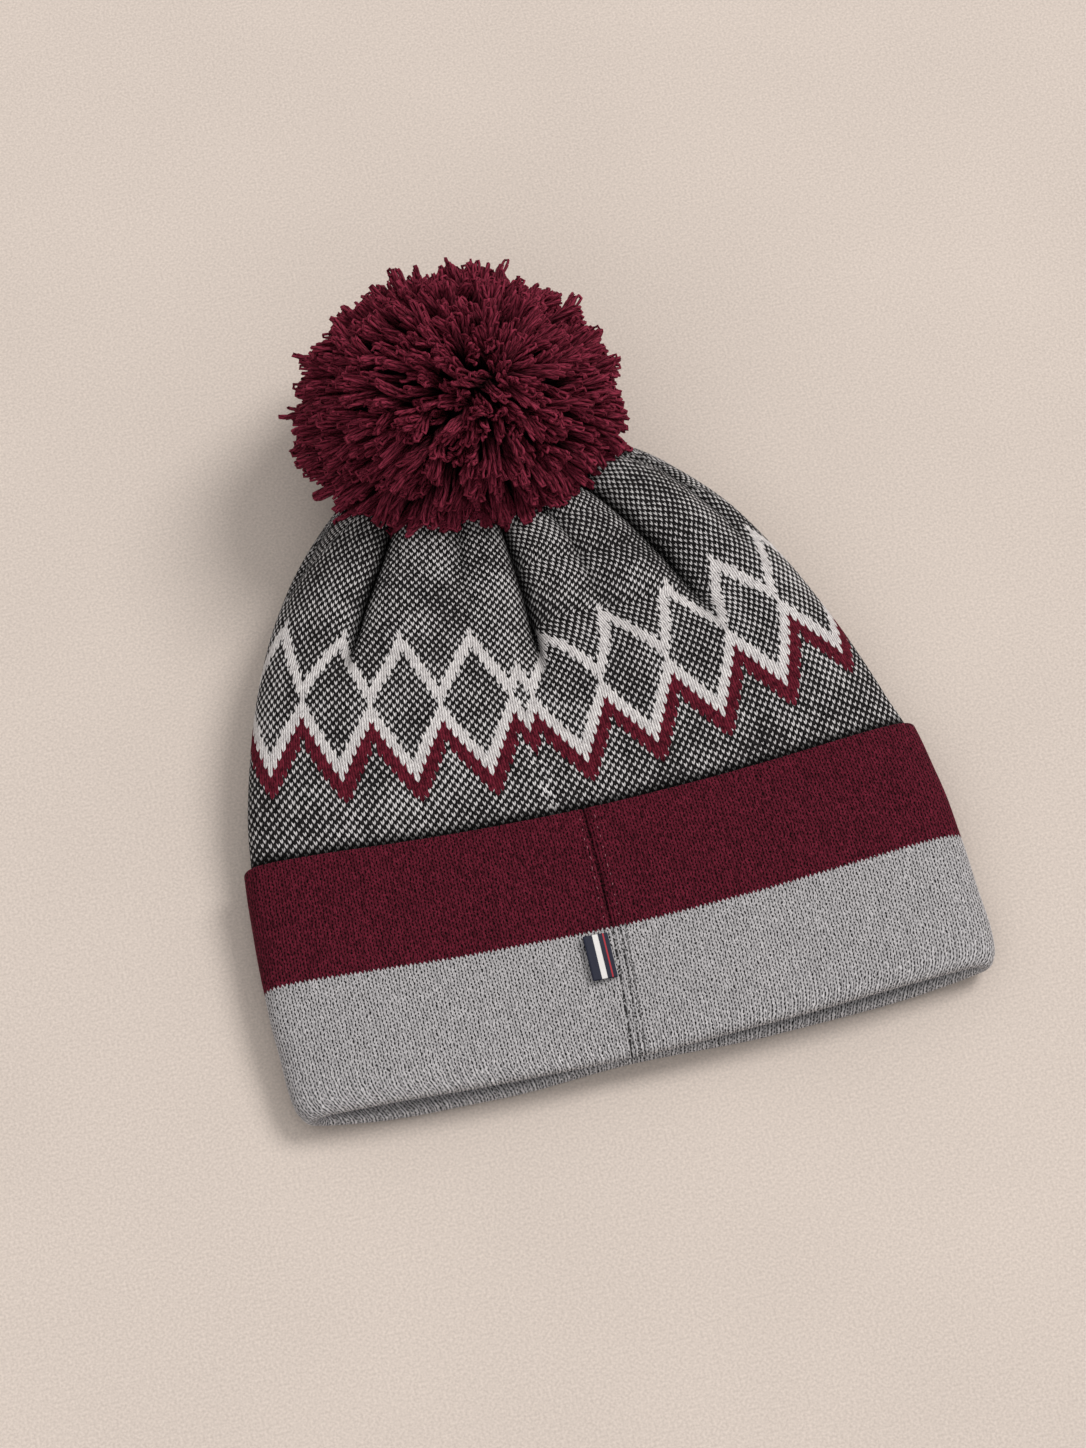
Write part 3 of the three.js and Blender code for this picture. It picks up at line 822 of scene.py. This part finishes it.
def makeCuff(material):
    turns, wales = cuffColumns()
    topCount = int((turns <= np.pi).sum())
    profile = cuffProfile()
    alongs, offsets = profile[:, :1], profile[:, 1:]
    here, normal = bodyGrid(profile[:, 0], turns, topCount)
    points = here + normal * offsets[..., None]
    # rows beside the seam, and a soft unevenness of the turned-up layer
    onOuter = (offsets > cuff["gap"] + 0.05) & (np.arange(len(turns)) < topCount)
    x, y = points[..., 0], points[..., 1]
    seamAside = x - np.interp(alongs, cuff["seamAlong"], cuff["seamX"])
    grey = 1 - easeStep(alongs, cuff["greyTo"] - 1.5, cuff["greyTo"] + 1.5)
    lift = cuff["shoulder"] * bell(np.abs(seamAside - 0.6) - 2.6, 2.0)
    lift -= cuff["pinch"] * bell(seamAside, 3.5) * (1 - easeStep(alongs, 0, 9))
    for row in seamRows:
        deep = row["wineDeep"] * (1 - grey) + row["greyDeep"] * grey
        lift -= deep * bell(seamAside - row["aside"], row["half"])
    wave = (np.sin(x * 0.07 + 0.8 * np.sin(y * 0.09)) * np.sin(y * 0.11 + 1.1 * np.sin(x * 0.045 + 2))
            + 0.5 * np.sin(x * 0.16 + y * 0.1) * np.sin(y * 0.2 - x * 0.03 + 1))
    points += normal * (onOuter * (cuff["uneven"] * wave + lift))[..., None]
    points[..., 2] = np.maximum(points[..., 2], 0)
    rowCount, columnCount = points.shape[:2]
    run = runOf(np.concatenate([profile, profile[:1]]))[:, None]
    courses = (run - run[cuff["hemPoints"] - 1]) / cuff["courseHeight"]
    # weight of the painted rib shade and rim highlight, highest at the mouth fold
    mouthShading = bell(run[:-1] - run[np.argmin(alongs)], cuff["ribReach"])
    faces = ringFaces(rowCount + 1, columnCount) % (rowCount * columnCount)
    return placeMesh("cuff_knit", points.reshape(-1, 3), [faces], material,
                     ringUv(*np.broadcast_arrays(wales[:-1], wales[1:], courses)), "cuff",
                     {"seamAside": np.where(onOuter, seamAside, 60.0),
                      "mouthShading": np.repeat(mouthShading, columnCount)})


def makeCuffMaterial():
    material, tree = newMaterial("plainKnit", 0.95, 0.08)
    place = addNode(tree, "TexCoord", "Object")
    flatWale, flatCourse = threadMap(tree)
    sideNoise, upNoise = noiseOf(place, 520.0), noiseOf(place, 430.0)
    wale = flatWale + (sideNoise - 0.5) * cuff["waleWander"]
    course = flatCourse + (upNoise - 0.5) * cuff["courseWander"]
    stitch = useGroup(knitStitch, Wale=wale, Course=course, Slant=-0.8)
    toothWale = flatWale * (cuff["waleWidth"] / cuff["toothWidth"])
    edge = useGroup(knitStitch, Wale=toothWale, Course=flatCourse, Slant=-0.9)
    change = (hat["cuffTop"] - cuff["greyTo"]) / cuff["courseHeight"]
    isGrey = edge["CourseNumber"] > change - 0.5
    # painted shade in a slit between the legs of each stitch, sin(pi wale)^3 * sin(pi course)^0.75,
    # some deep and some nearly closed, half a course higher in every other wale; and painted shade in a
    # groove between wales
    odd = stitch["WaleNumber"] % 2
    rise = sineOf(course + odd * 0.5) ** 0.75
    slack = noiseOf(joined(wale * 1.7, course * 1.3), 1.0, 2.0, 0.6)
    speck = sineOf(wale) ** 3 * (rise * 0.85 + rangeOf(slack, 0.3, 0.7, -0.4, 0.4))
    speck = rangeOf(speck, 0.1, 0.7, smooth=True)
    groove = rangeOf(stitch["Height"], 0.0, 0.6, 1.0, 0.0, smooth=True)
    colour = mixColour(isGrey, toneOf(cuff["wineYarn"], stitch["Random"], place),
                       toneOf(cuff["greyYarn"], stitch["Random"], place))
    # holes of the seam's rows, |sin(pi course / dash)| with a noise in it
    aside = markOf(tree, "seamAside")
    dashed = abs(calc("SINE", flatCourse * (math.pi / cuff["dash"]) + upNoise * 11.0))
    dashed = rangeOf(dashed, 0.3, 0.8, smooth=True)
    hole = 0.0
    for row in seamRows:
        half = row["half"]
        near = rangeOf(abs(aside - row["aside"]), half * 0.3, half * 1.2, 1.0, 0.0, smooth=True)
        near = near * highest(dashed, mixNumber(isGrey, row["unbroken"], 0.08))
        hole = highest(hole, near * mixNumber(isGrey, row["wineDark"], row["greyDark"]))
    shade = mixNumber(groove, 1.0, cuff["groove"]) * mixNumber(speck, 1.0, cuff["speck"])
    shade = shade * mixNumber(hole, 1.0, cuff["hole"])
    # painted shade between ribs along the mouth fold, where the cloth is stretched, one to each tooth,
    # and a painted highlight along the fold
    rib = rangeOf(sineOf(toothWale + sideNoise * 0.8), 0.15, 0.75, cuff["ribs"], 0.0, smooth=True)
    shade = shade * (markOf(tree, "mouthShading") * (cuff["ribLight"] - rib) + 1)
    # painted sheen where the cloth turns away from the camera
    facing = addNode(tree, "LayerWeight", "Facing", {}, {"Blend": 0.5})
    shade = shade * rangeOf(facing, 0.62, 0.97, 1.0, 1.0 + cuff["edgeLight"], smooth=True)
    relief = 1 - groove * 0.4 - speck * 0.6 - hole
    return finishMaterial(material, shaded(colour, shade), relief, 0.6, 0.0005)


cuffPiece = makeCuff(makeCuffMaterial())

# ---- stitches beside the seam
seamThread = {
    "aside": [-1.9, 3.1],
    "from": 43.5, "to": 79.0, "apart": 3.3, "long": 1.5,
    "lift": 0.55, "sunk": 0.25,      # height of a stitch's arch, and how far its ends are in the cloth
    "radius": 0.2, "rings": 7, "sides": 6,
    "yarn": (0.27, 0.075, 0.10),
}


# a place on the cuff's outer face and the way out of it, by cross product of two small steps
def cuffFace(x, along):
    here = topAt(x, along)
    normal = unit(np.cross(topAt(x + 0.2, along) - here, topAt(x, along + 0.2) - here))
    return here + normal * cuff["outer"], normal


# each stitch is a short tube that rises out of the cloth and dips back in: lift * sin(pi t) - sunk
def makeSeamThread(material):
    starts = np.arange(seamThread["from"], seamThread["to"], seamThread["apart"])
    rows = np.repeat(seamThread["aside"], len(starts))
    count = len(rows)
    starts = np.tile(starts, len(seamThread["aside"])) + dice.normal(0, 0.3, count)
    longs = seamThread["long"] * dice.uniform(0.75, 1.2, count)
    t = np.linspace(0, 1, seamThread["rings"])[None]
    along = starts[:, None] + longs[:, None] * t
    x = (np.interp(along, cuff["seamAlong"], cuff["seamX"]) + rows[:, None]
         + dice.normal(0, 0.12, (count, 1)) + dice.normal(0, 0.25, (count, 1)) * (t - 0.5))
    face, normal = cuffFace(x, along)
    line = face + normal * (seamThread["lift"] * np.sin(np.pi * t) - seamThread["sunk"])[..., None]
    third = np.cross(unit(np.gradient(line, axis=1)), normal)
    return placeTubes("seam_stitches", line, normal, third, seamThread["radius"], seamThread["sides"],
                      material, None, np.zeros(count), np.ones(seamThread["rings"]))


def makeThreadMaterial():
    material, tree = newMaterial("seamThread", 0.7, 0.5)
    ply = noiseOf(addNode(tree, "TexCoord", "Object"), 2500.0, 1.0)
    colour = shaded(seamThread["yarn"], rangeOf(ply, 0.3, 0.7, 0.6, 1.1))
    return finishMaterial(material, colour, ply, 0.5, 0.0002)


threadPiece = makeSeamThread(makeThreadMaterial())

# ---- bobble
bobble = {
    "centre": (-7.5, 229.0, 33.0),
    "halfWidth": 55.0, "halfLength": 47.5, "above": 51.0, "below": 36.0, "turn": -10.0,
    "tufts": 1020, "loops": 6, "pieces": 3, "sides": 4,
    "tuftRadius": 2.0, "looser": 0.45,    # the second widens tufts near the parting
    "tuftBend": 1.2, "tuftSlant": 1.3,    # how far tufts bend, and how much longer some yarns are
    "yarn": 0.56,            # half thickness
    "loopHalf": 0.7,         # from the middle of a loop to each of its legs
    "steps": [-1, -0.7, -0.42, -0.2, -0.06, -0.018, 0.018, 0.06, 0.2, 0.42, 0.7, 1],
    "bend": 0.05,            # share of a leg that its round end takes
    "legTwist": 1.6, "curl": 0.55, "curlTurn": 14.0,
    "reach": 0.95, "reachSpread": 0.046,      # where loops end, as shares of the ball's radius
    "dimple": 0.06, "dimpleWidth": 0.3,       # how much shorter they are at the parting
    "root": 0.5, "poleRoot": 0.8,     # where loops start, as shares of the ball's radius
    "tipSpread": 0.03, "rootSpread": 0.11,
    "pole": (14.0, -15.0, 49.0),      # middle of the parting, from the centre
    "parting": 0.045,        # radians kept clear round it
    "lean": 0.35,            # radians that loops lean away from it
    "clear": 0.6, "sunk": 24.0,       # loops lie this far above the crown; deeper ones are left out
    "middle": 0.66, "middleRows": 40, "middleColumns": 64,
    "plies": 2, "plyTwist": 7.0,
    # deep is the colour of the painted shade deep among the yarns
    "wineYarn": ((0.10, 0.0078, 0.0185), (0.29, 0.034, 0.068), 0.85), "deep": (0.005, 0.0004, 0.001),
}


# directions spread evenly over a ball: heights at equal steps, turned by the golden angle
def evenDirections(count):
    i = np.arange(count) + 0.5
    z = 1 - 2 * i / count
    turn = math.pi * (3 - math.sqrt(5)) * i
    flat = np.sqrt(1 - z * z)
    return np.stack([flat * np.cos(turn), flat * np.sin(turn), z], -1)


# a direction and a share of the radius to a place in the bobble: an ellipsoid, flatter below
def ballPlace(direction, share):
    height = np.where(direction[..., 2] > 0, bobble["above"], bobble["below"])
    x = direction[..., 0] * bobble["halfWidth"]
    y = direction[..., 1] * bobble["halfLength"]
    a = math.radians(bobble["turn"])
    place = np.stack([x * math.cos(a) - y * math.sin(a), x * math.sin(a) + y * math.cos(a),
                      direction[..., 2] * height], -1)
    return np.array(bobble["centre"]) + place * np.asarray(share)[..., None]


# height of the crown's top face under a place, or 0 beside the crown
def crownHeight(x, y):
    along = np.clip(y, 100, hat["length"] - 2)
    section = sectionAt(along)
    across = (x - section["shift"]) / section["halfWidth"]
    z = topFace(np.clip(across, -1, 1), along)[..., 2]
    return np.where((np.abs(across) < 1) & (y < hat["length"]), z, 0)


def randomWays(count):
    return unit(dice.normal(0, 1, (*count, 3)))


# yarns come in tufts, and each yarn is a loop: out along a bent line, round its tip and back
def makeLoops():
    tufts, loops = bobble["tufts"], bobble["loops"]
    tip = unit(evenDirections(tufts) + dice.normal(0, bobble["tipSpread"], (tufts, 3)))
    pole = unit(np.array(bobble["pole"]) / [bobble["halfWidth"], bobble["halfLength"], bobble["above"]])
    aside = unit(tip - (tip @ pole)[:, None] * pole)
    angle = np.arccos(np.clip(tip @ pole, -1, 1))
    angle = bobble["parting"] + angle * (np.pi - bobble["parting"]) / np.pi

    def fromPole(apart):
        return np.cos(apart)[:, None] * pole + np.sin(apart)[:, None] * aside

    # roots lie nearer the parting than tips, and shallower beside it, so tufts lie outwards
    tip = fromPole(angle)
    lean = bobble["lean"] * dice.uniform(0.5, 1.5, tufts)
    root = fromPole(np.maximum(angle - lean, 0.08 * angle))
    root = unit(root + dice.normal(0, bobble["rootSpread"], (tufts, 3)))
    shallow = np.clip(1 - angle / lean, 0, 1)
    rootReach = bobble["root"] + (bobble["poleRoot"] - bobble["root"]) * shallow
    reach = bobble["reach"] + dice.normal(0, bobble["reachSpread"], tufts)
    reach = reach - bobble["dimple"] * bell(angle, bobble["dimpleWidth"])
    start, end = ballPlace(root, rootReach), ballPlace(tip, reach)
    knee = ballPlace(unit(root * 0.45 + tip * 0.55), 0.45 * rootReach + 0.55 * reach * 1.03)
    axis = unit(end - start)
    broad = unit(np.cross(axis, randomWays((tufts,))))
    deep = np.cross(axis, broad)
    tuftBend = dice.normal(0, bobble["tuftBend"], (tufts, 3))
    # the loops of each tuft side by side, on a curve with one knee: start (1 - t)^2 +
    # 2 knee t (1 - t) + end t^2, t from 0 at the root to 1 at the tip and back
    each = (tufts * loops, 1, 1)
    parts = (angle[:, None], start, knee, end, axis, broad, deep, tuftBend)
    angle, start, knee, end, axis, broad, deep, tuftBend = (
        np.repeat(part, loops, 0)[:, None] for part in parts)
    turn = dice.uniform(0, 2 * np.pi, each)
    looser = 1 + bobble["looser"] * bell(angle, 0.5)
    away = bobble["tuftRadius"] * looser * np.sqrt(dice.uniform(0.02, 1, each))
    offset = (broad * np.cos(turn) + deep * np.sin(turn)) * away
    longer = axis * dice.normal(0, bobble["tuftSlant"], each)
    steps = np.array(bobble["steps"])[:, None]
    t = 1 - np.abs(steps)
    line = start * (1 - t) ** 2 + 2 * knee * t * (1 - t) + end * t**2
    line = line + offset * (0.35 + 0.65 * t**1.5) + longer * t + tuftBend * np.sin(t * np.pi)
    phase = dice.uniform(0, 2 * np.pi, each)
    line = line + randomWays(each[:2]) * np.sin(t * bobble["curlTurn"] + phase) * bobble["curl"]
    # the two legs stand apart, and come together in a round end: sqrt(1 - e^2)
    broadWay = unit(np.cross(axis, randomWays(each[:2])))
    deepWay = np.cross(axis, broadWay)
    twist = dice.uniform(-1, 1, each) * bobble["legTwist"] * (1 - t)
    ended = 1 - np.clip(np.abs(steps) / bobble["bend"], 0, 1)
    spread = np.sqrt(1 - ended**2) * np.sign(steps)
    half = bobble["loopHalf"] * dice.uniform(0.45, 1.4, each)
    line = line + (broadWay * np.cos(twist) + deepWay * np.sin(twist)) * spread * half
    line[..., 2] -= t[..., 0] ** 2
    # loops lie over the crown and on the floor
    rest = np.maximum(crownHeight(line[..., 0], line[..., 1]) + bobble["clear"], bobble["yarn"] * 1.3)
    sunk = (rest - line[..., 2])[:, line.shape[1] // 2]
    line[..., 2] = np.maximum(line[..., 2], rest)
    return line[sunk < bobble["sunk"]]


def makeYarns(material):
    line = makeLoops()
    count = len(line)
    along = unit(np.gradient(line, axis=1))
    side = unit(np.cross(along, randomWays((count, 1))))
    third = np.cross(along, side)
    size = bobble["yarn"] * dice.uniform(0.85, 1.12, (count, 1, 1, 1))
    shade = dice.uniform(0, 1, count)
    share = 1 - np.abs(np.array(bobble["steps"]))
    for number, part in enumerate(np.array_split(np.arange(count), bobble["pieces"])):
        placeTubes(f"bobble_yarn_{number + 1}", line[part], side[part], third[part], size[part],
                   bobble["sides"], material, "bobble", shade[part], share)


# the bound middle that the loops come from: (sin a cos b, sin a sin b, cos a)
def makeMiddle(material):
    rows, columns = bobble["middleRows"], bobble["middleColumns"]
    a = np.linspace(0.04, np.pi - 0.04, rows)[:, None]
    b = np.linspace(0, 2 * np.pi, columns + 1)[:-1][None]
    way = np.stack(np.broadcast_arrays(np.sin(a) * np.cos(b), np.sin(a) * np.sin(b), np.cos(a)), -1)
    ball = ballPlace(way, np.full(way.shape[:2], bobble["middle"]))
    ball[..., 2] = np.maximum(ball[..., 2], 2.0)
    points = withPoles(ball)
    # its map's share is 0 throughout, so it is painted in the deep colour, painted shade
    placeMesh("bobble_middle", points, closedFaces(rows, columns, flipped=True), material,
              np.zeros((len(points), 2)), "bobble")


def makeBobbleMaterial():
    material, tree = newMaterial("bobbleYarn", 0.9, 0.1)
    place = addNode(tree, "TexCoord", "Object")
    around, share = threadMap(tree)
    # plies wound round each other: |sin(pi (plies * round + twist * share))|, with painted shade where they
    # meet
    ply = sineOf(around * bobble["plies"] + share * bobble["plyTwist"])
    colour = shaded(toneOf(bobble["wineYarn"], markOf(tree, "shade"), place, 500.0),
                    rangeOf(ply, 0.0, 0.7, 0.3, 1.0, smooth=True))
    # the yarns are dark where light doesn't reach them
    colour = mixColour(rangeOf(share, 0.4, 0.98, smooth=True), bobble["deep"], colour)
    relief = ply * 0.7 + noiseOf(place, 1800.0) * 0.5
    return finishMaterial(material, colour, relief, 0.7, 0.0005)


bobbleYarn = makeBobbleMaterial()
makeYarns(bobbleYarn)
makeMiddle(bobbleYarn)

# ---- tab
tab = {
    "left": -14.0, "right": -6.0, "along": 31.8, "length": 14.5,
    "ribbon": 0.5, "slot": 0.3, "seat": 0.3,
    "lift": 0.9, "curl": 0.25,      # how far the free fold stands off the cloth, and curls
    "navy": (0.009, 0.012, 0.030), "white": (0.74, 0.73, 0.72), "red": (0.42, 0.022, 0.035),
    "whiteStripe": (3.2, 5.0), "redLine": (1.3, 1.75),    # from the seam
    "jag": 0.05, "ribWidth": 0.34, "warpWidth": 0.22,
}


# the ribbon's section, a flat strip with rounded selvedges, carried along its path in its own
# plane: upper ply out to the left, a half turn and the lower ply back
def makeTab(material):
    half = (2 * tab["ribbon"] + tab["slot"]) / 2
    width = tab["right"] - tab["left"]
    middle, bendAt = half - tab["ribbon"] / 2, half - width
    path = np.concatenate([
        levelLine(0, bendAt, middle, 26)[:-1],
        arcOf((bendAt, 0), middle, 90, 270, 17),
        levelLine(bendAt, 0, -middle, 26)[1:]])
    ahead = unit(np.gradient(path, axis=0))
    normal = np.stack([ahead[:, 1], -ahead[:, 0]], -1)
    length, thick = tab["length"] / 2, tab["ribbon"] / 2
    edge = arcOf((length - thick, 0), thick, -90, 90, 7)
    face = levelLine(length - thick, thick - length, thick, 22)[1:-1]
    outline = np.concatenate([edge, face, -edge, -face])
    side, up = (path[:, None] + normal[:, None] * outline[:, 1:]).transpose(2, 0, 1)
    fore = np.broadcast_to(outline[:, 0], side.shape)
    # the free fold stands a little off the cloth
    out = np.clip(-side / width, 0, 1)
    up = up + tab["lift"] * out**1.5 + tab["curl"] * np.sin(fore / length * 2.2 + 0.6) * out
    # laid on the cuff, square to its top face there
    spot, aside = topAt(tab["right"], tab["along"]), topAt(tab["left"], tab["along"])
    ahead = topAt(tab["right"], tab["along"] + length) - topAt(tab["right"], tab["along"] - length)
    sideWay = unit(spot - aside)
    upWay = unit(np.cross(sideWay, unit(ahead)))
    origin = spot + upWay * (cuff["outer"] + half + tab["seat"])
    points = (origin + side[..., None] * sideWay + fore[..., None] * np.cross(upWay, sideWay)
              + up[..., None] * upWay)
    run = np.repeat(runOf(path), len(outline))
    uv = np.stack([np.append(run, [0, run[-1]]), np.append(fore.ravel(), [0, 0])], -1)
    return placeMesh("tab_ribbon", withPoles(points), closedFaces(*side.shape, flipped=True), material,
                     uv, "tab")


def makeTabMaterial():
    material, tree = newMaterial("wovenRibbon", 0.6, 0.3)
    run, up = threadMap(tree)
    crooked = run + calc("SINE", up * 19.0) * tab["jag"]

    def band(low, high):
        return (crooked > low) * (crooked < high)

    colour = mixColour(band(*tab["whiteStripe"]), tab["navy"], tab["white"])
    colour = mixColour(band(*tab["redLine"]), colour, tab["red"])
    # ribs of the weave in relief, with painted shade between them and a little painted highlight on them
    weave = sineOf(up / tab["ribWidth"]) * 0.7 + sineOf(run / tab["warpWidth"]) * 0.3
    return finishMaterial(material, shaded(colour, mixNumber(weave, 0.75, 1.05)), weave, 0.5, 0.00012)


tabPiece = makeTab(makeTabMaterial())

# ---- floor, light and camera, in metres
stage = {
    "floorDark": (0.50, 0.44, 0.399), "floorLight": (0.658, 0.58, 0.525), "size": 6.0,
    "key": {"place": (6.0, 2.2, 7.2), "size": 4.2, "power": 622.0, "colour": (1.0, 0.97, 0.94)},
    "fill": {"place": (-1.2, -1.8, 1.6), "size": 2.2, "power": 8.0, "colour": (0.97, 0.98, 1.0)},
    "room": (1.0, 0.97, 0.94), "roomLight": 0.67,
    "lens": 111.9, "sensor": 36,
    # from the mouth's side, 62 degrees up and 14 degrees round to the left
    "cameraPlace": (-0.1709, -0.6786, 1.2920),
    "cameraRight": (0.9703, -0.2419, 0.0), "cameraBack": (-0.1136, -0.4555, 0.8829),
}


def makeFloor():
    mesh = bpy.data.meshes.new("floor")
    half = stage["size"] / 2
    corners = [(-half, -half, 0), (half, -half, 0), (half, half, 0), (-half, half, 0)]
    mesh.from_pydata(corners, [], [(0, 1, 2, 3)])
    floor = bpy.data.objects.new("floor", mesh)
    bpy.context.scene.collection.objects.link(floor)
    material, tree = newMaterial("paleFloor", 0.85, 0.2)
    place = addNode(tree, "TexCoord", "Object")
    grain, cloud = noiseOf(place, 1200.0), noiseOf(place, 12.0, 3.0)
    tone = rangeOf(grain, 0.3, 0.7, 0.0, 0.85) + rangeOf(cloud, 0.3, 0.7, 0.0, 0.15)
    colour = mixColour(tone, stage["floorDark"], stage["floorLight"])
    mesh.materials.append(finishMaterial(material, colour, grain, 0.15, 0.0004))


# a round lamp that looks at the hat
def addLight(name, lamp):
    data = bpy.data.lights.new(name, "AREA")
    data.shape = "DISK"
    data.size = lamp["size"]
    data.energy = lamp["power"]
    data.color = lamp["colour"]
    light = bpy.data.objects.new(name, data)
    light.location = lamp["place"]
    light.rotation_mode = "QUATERNION"
    light.rotation_quaternion = (-Vector(lamp["place"])).to_track_quat("-Z", "Y")
    bpy.context.scene.collection.objects.link(light)


def makeCamera():
    data = bpy.data.cameras.new("camera")
    data.lens = stage["lens"]
    data.sensor_width = stage["sensor"]
    camera = bpy.data.objects.new("camera", data)
    bpy.context.scene.collection.objects.link(camera)
    right, back = Vector(stage["cameraRight"]), Vector(stage["cameraBack"])
    turned = Matrix((right, back.cross(right), back)).transposed().to_4x4()
    camera.matrix_world = Matrix.Translation(stage["cameraPlace"]) @ turned
    bpy.context.scene.camera = camera


makeFloor()
addLight("keyLight", stage["key"])
addLight("fillLight", stage["fill"])
world = bpy.data.worlds.new("room")
world.use_nodes = True
world.node_tree.nodes["Background"].inputs[0].default_value = (*stage["room"], 1)
world.node_tree.nodes["Background"].inputs[1].default_value = stage["roomLight"]
bpy.context.scene.world = world
bpy.context.scene.view_settings.view_transform = "Standard"
makeCamera()
print("floor, lights and camera placed")
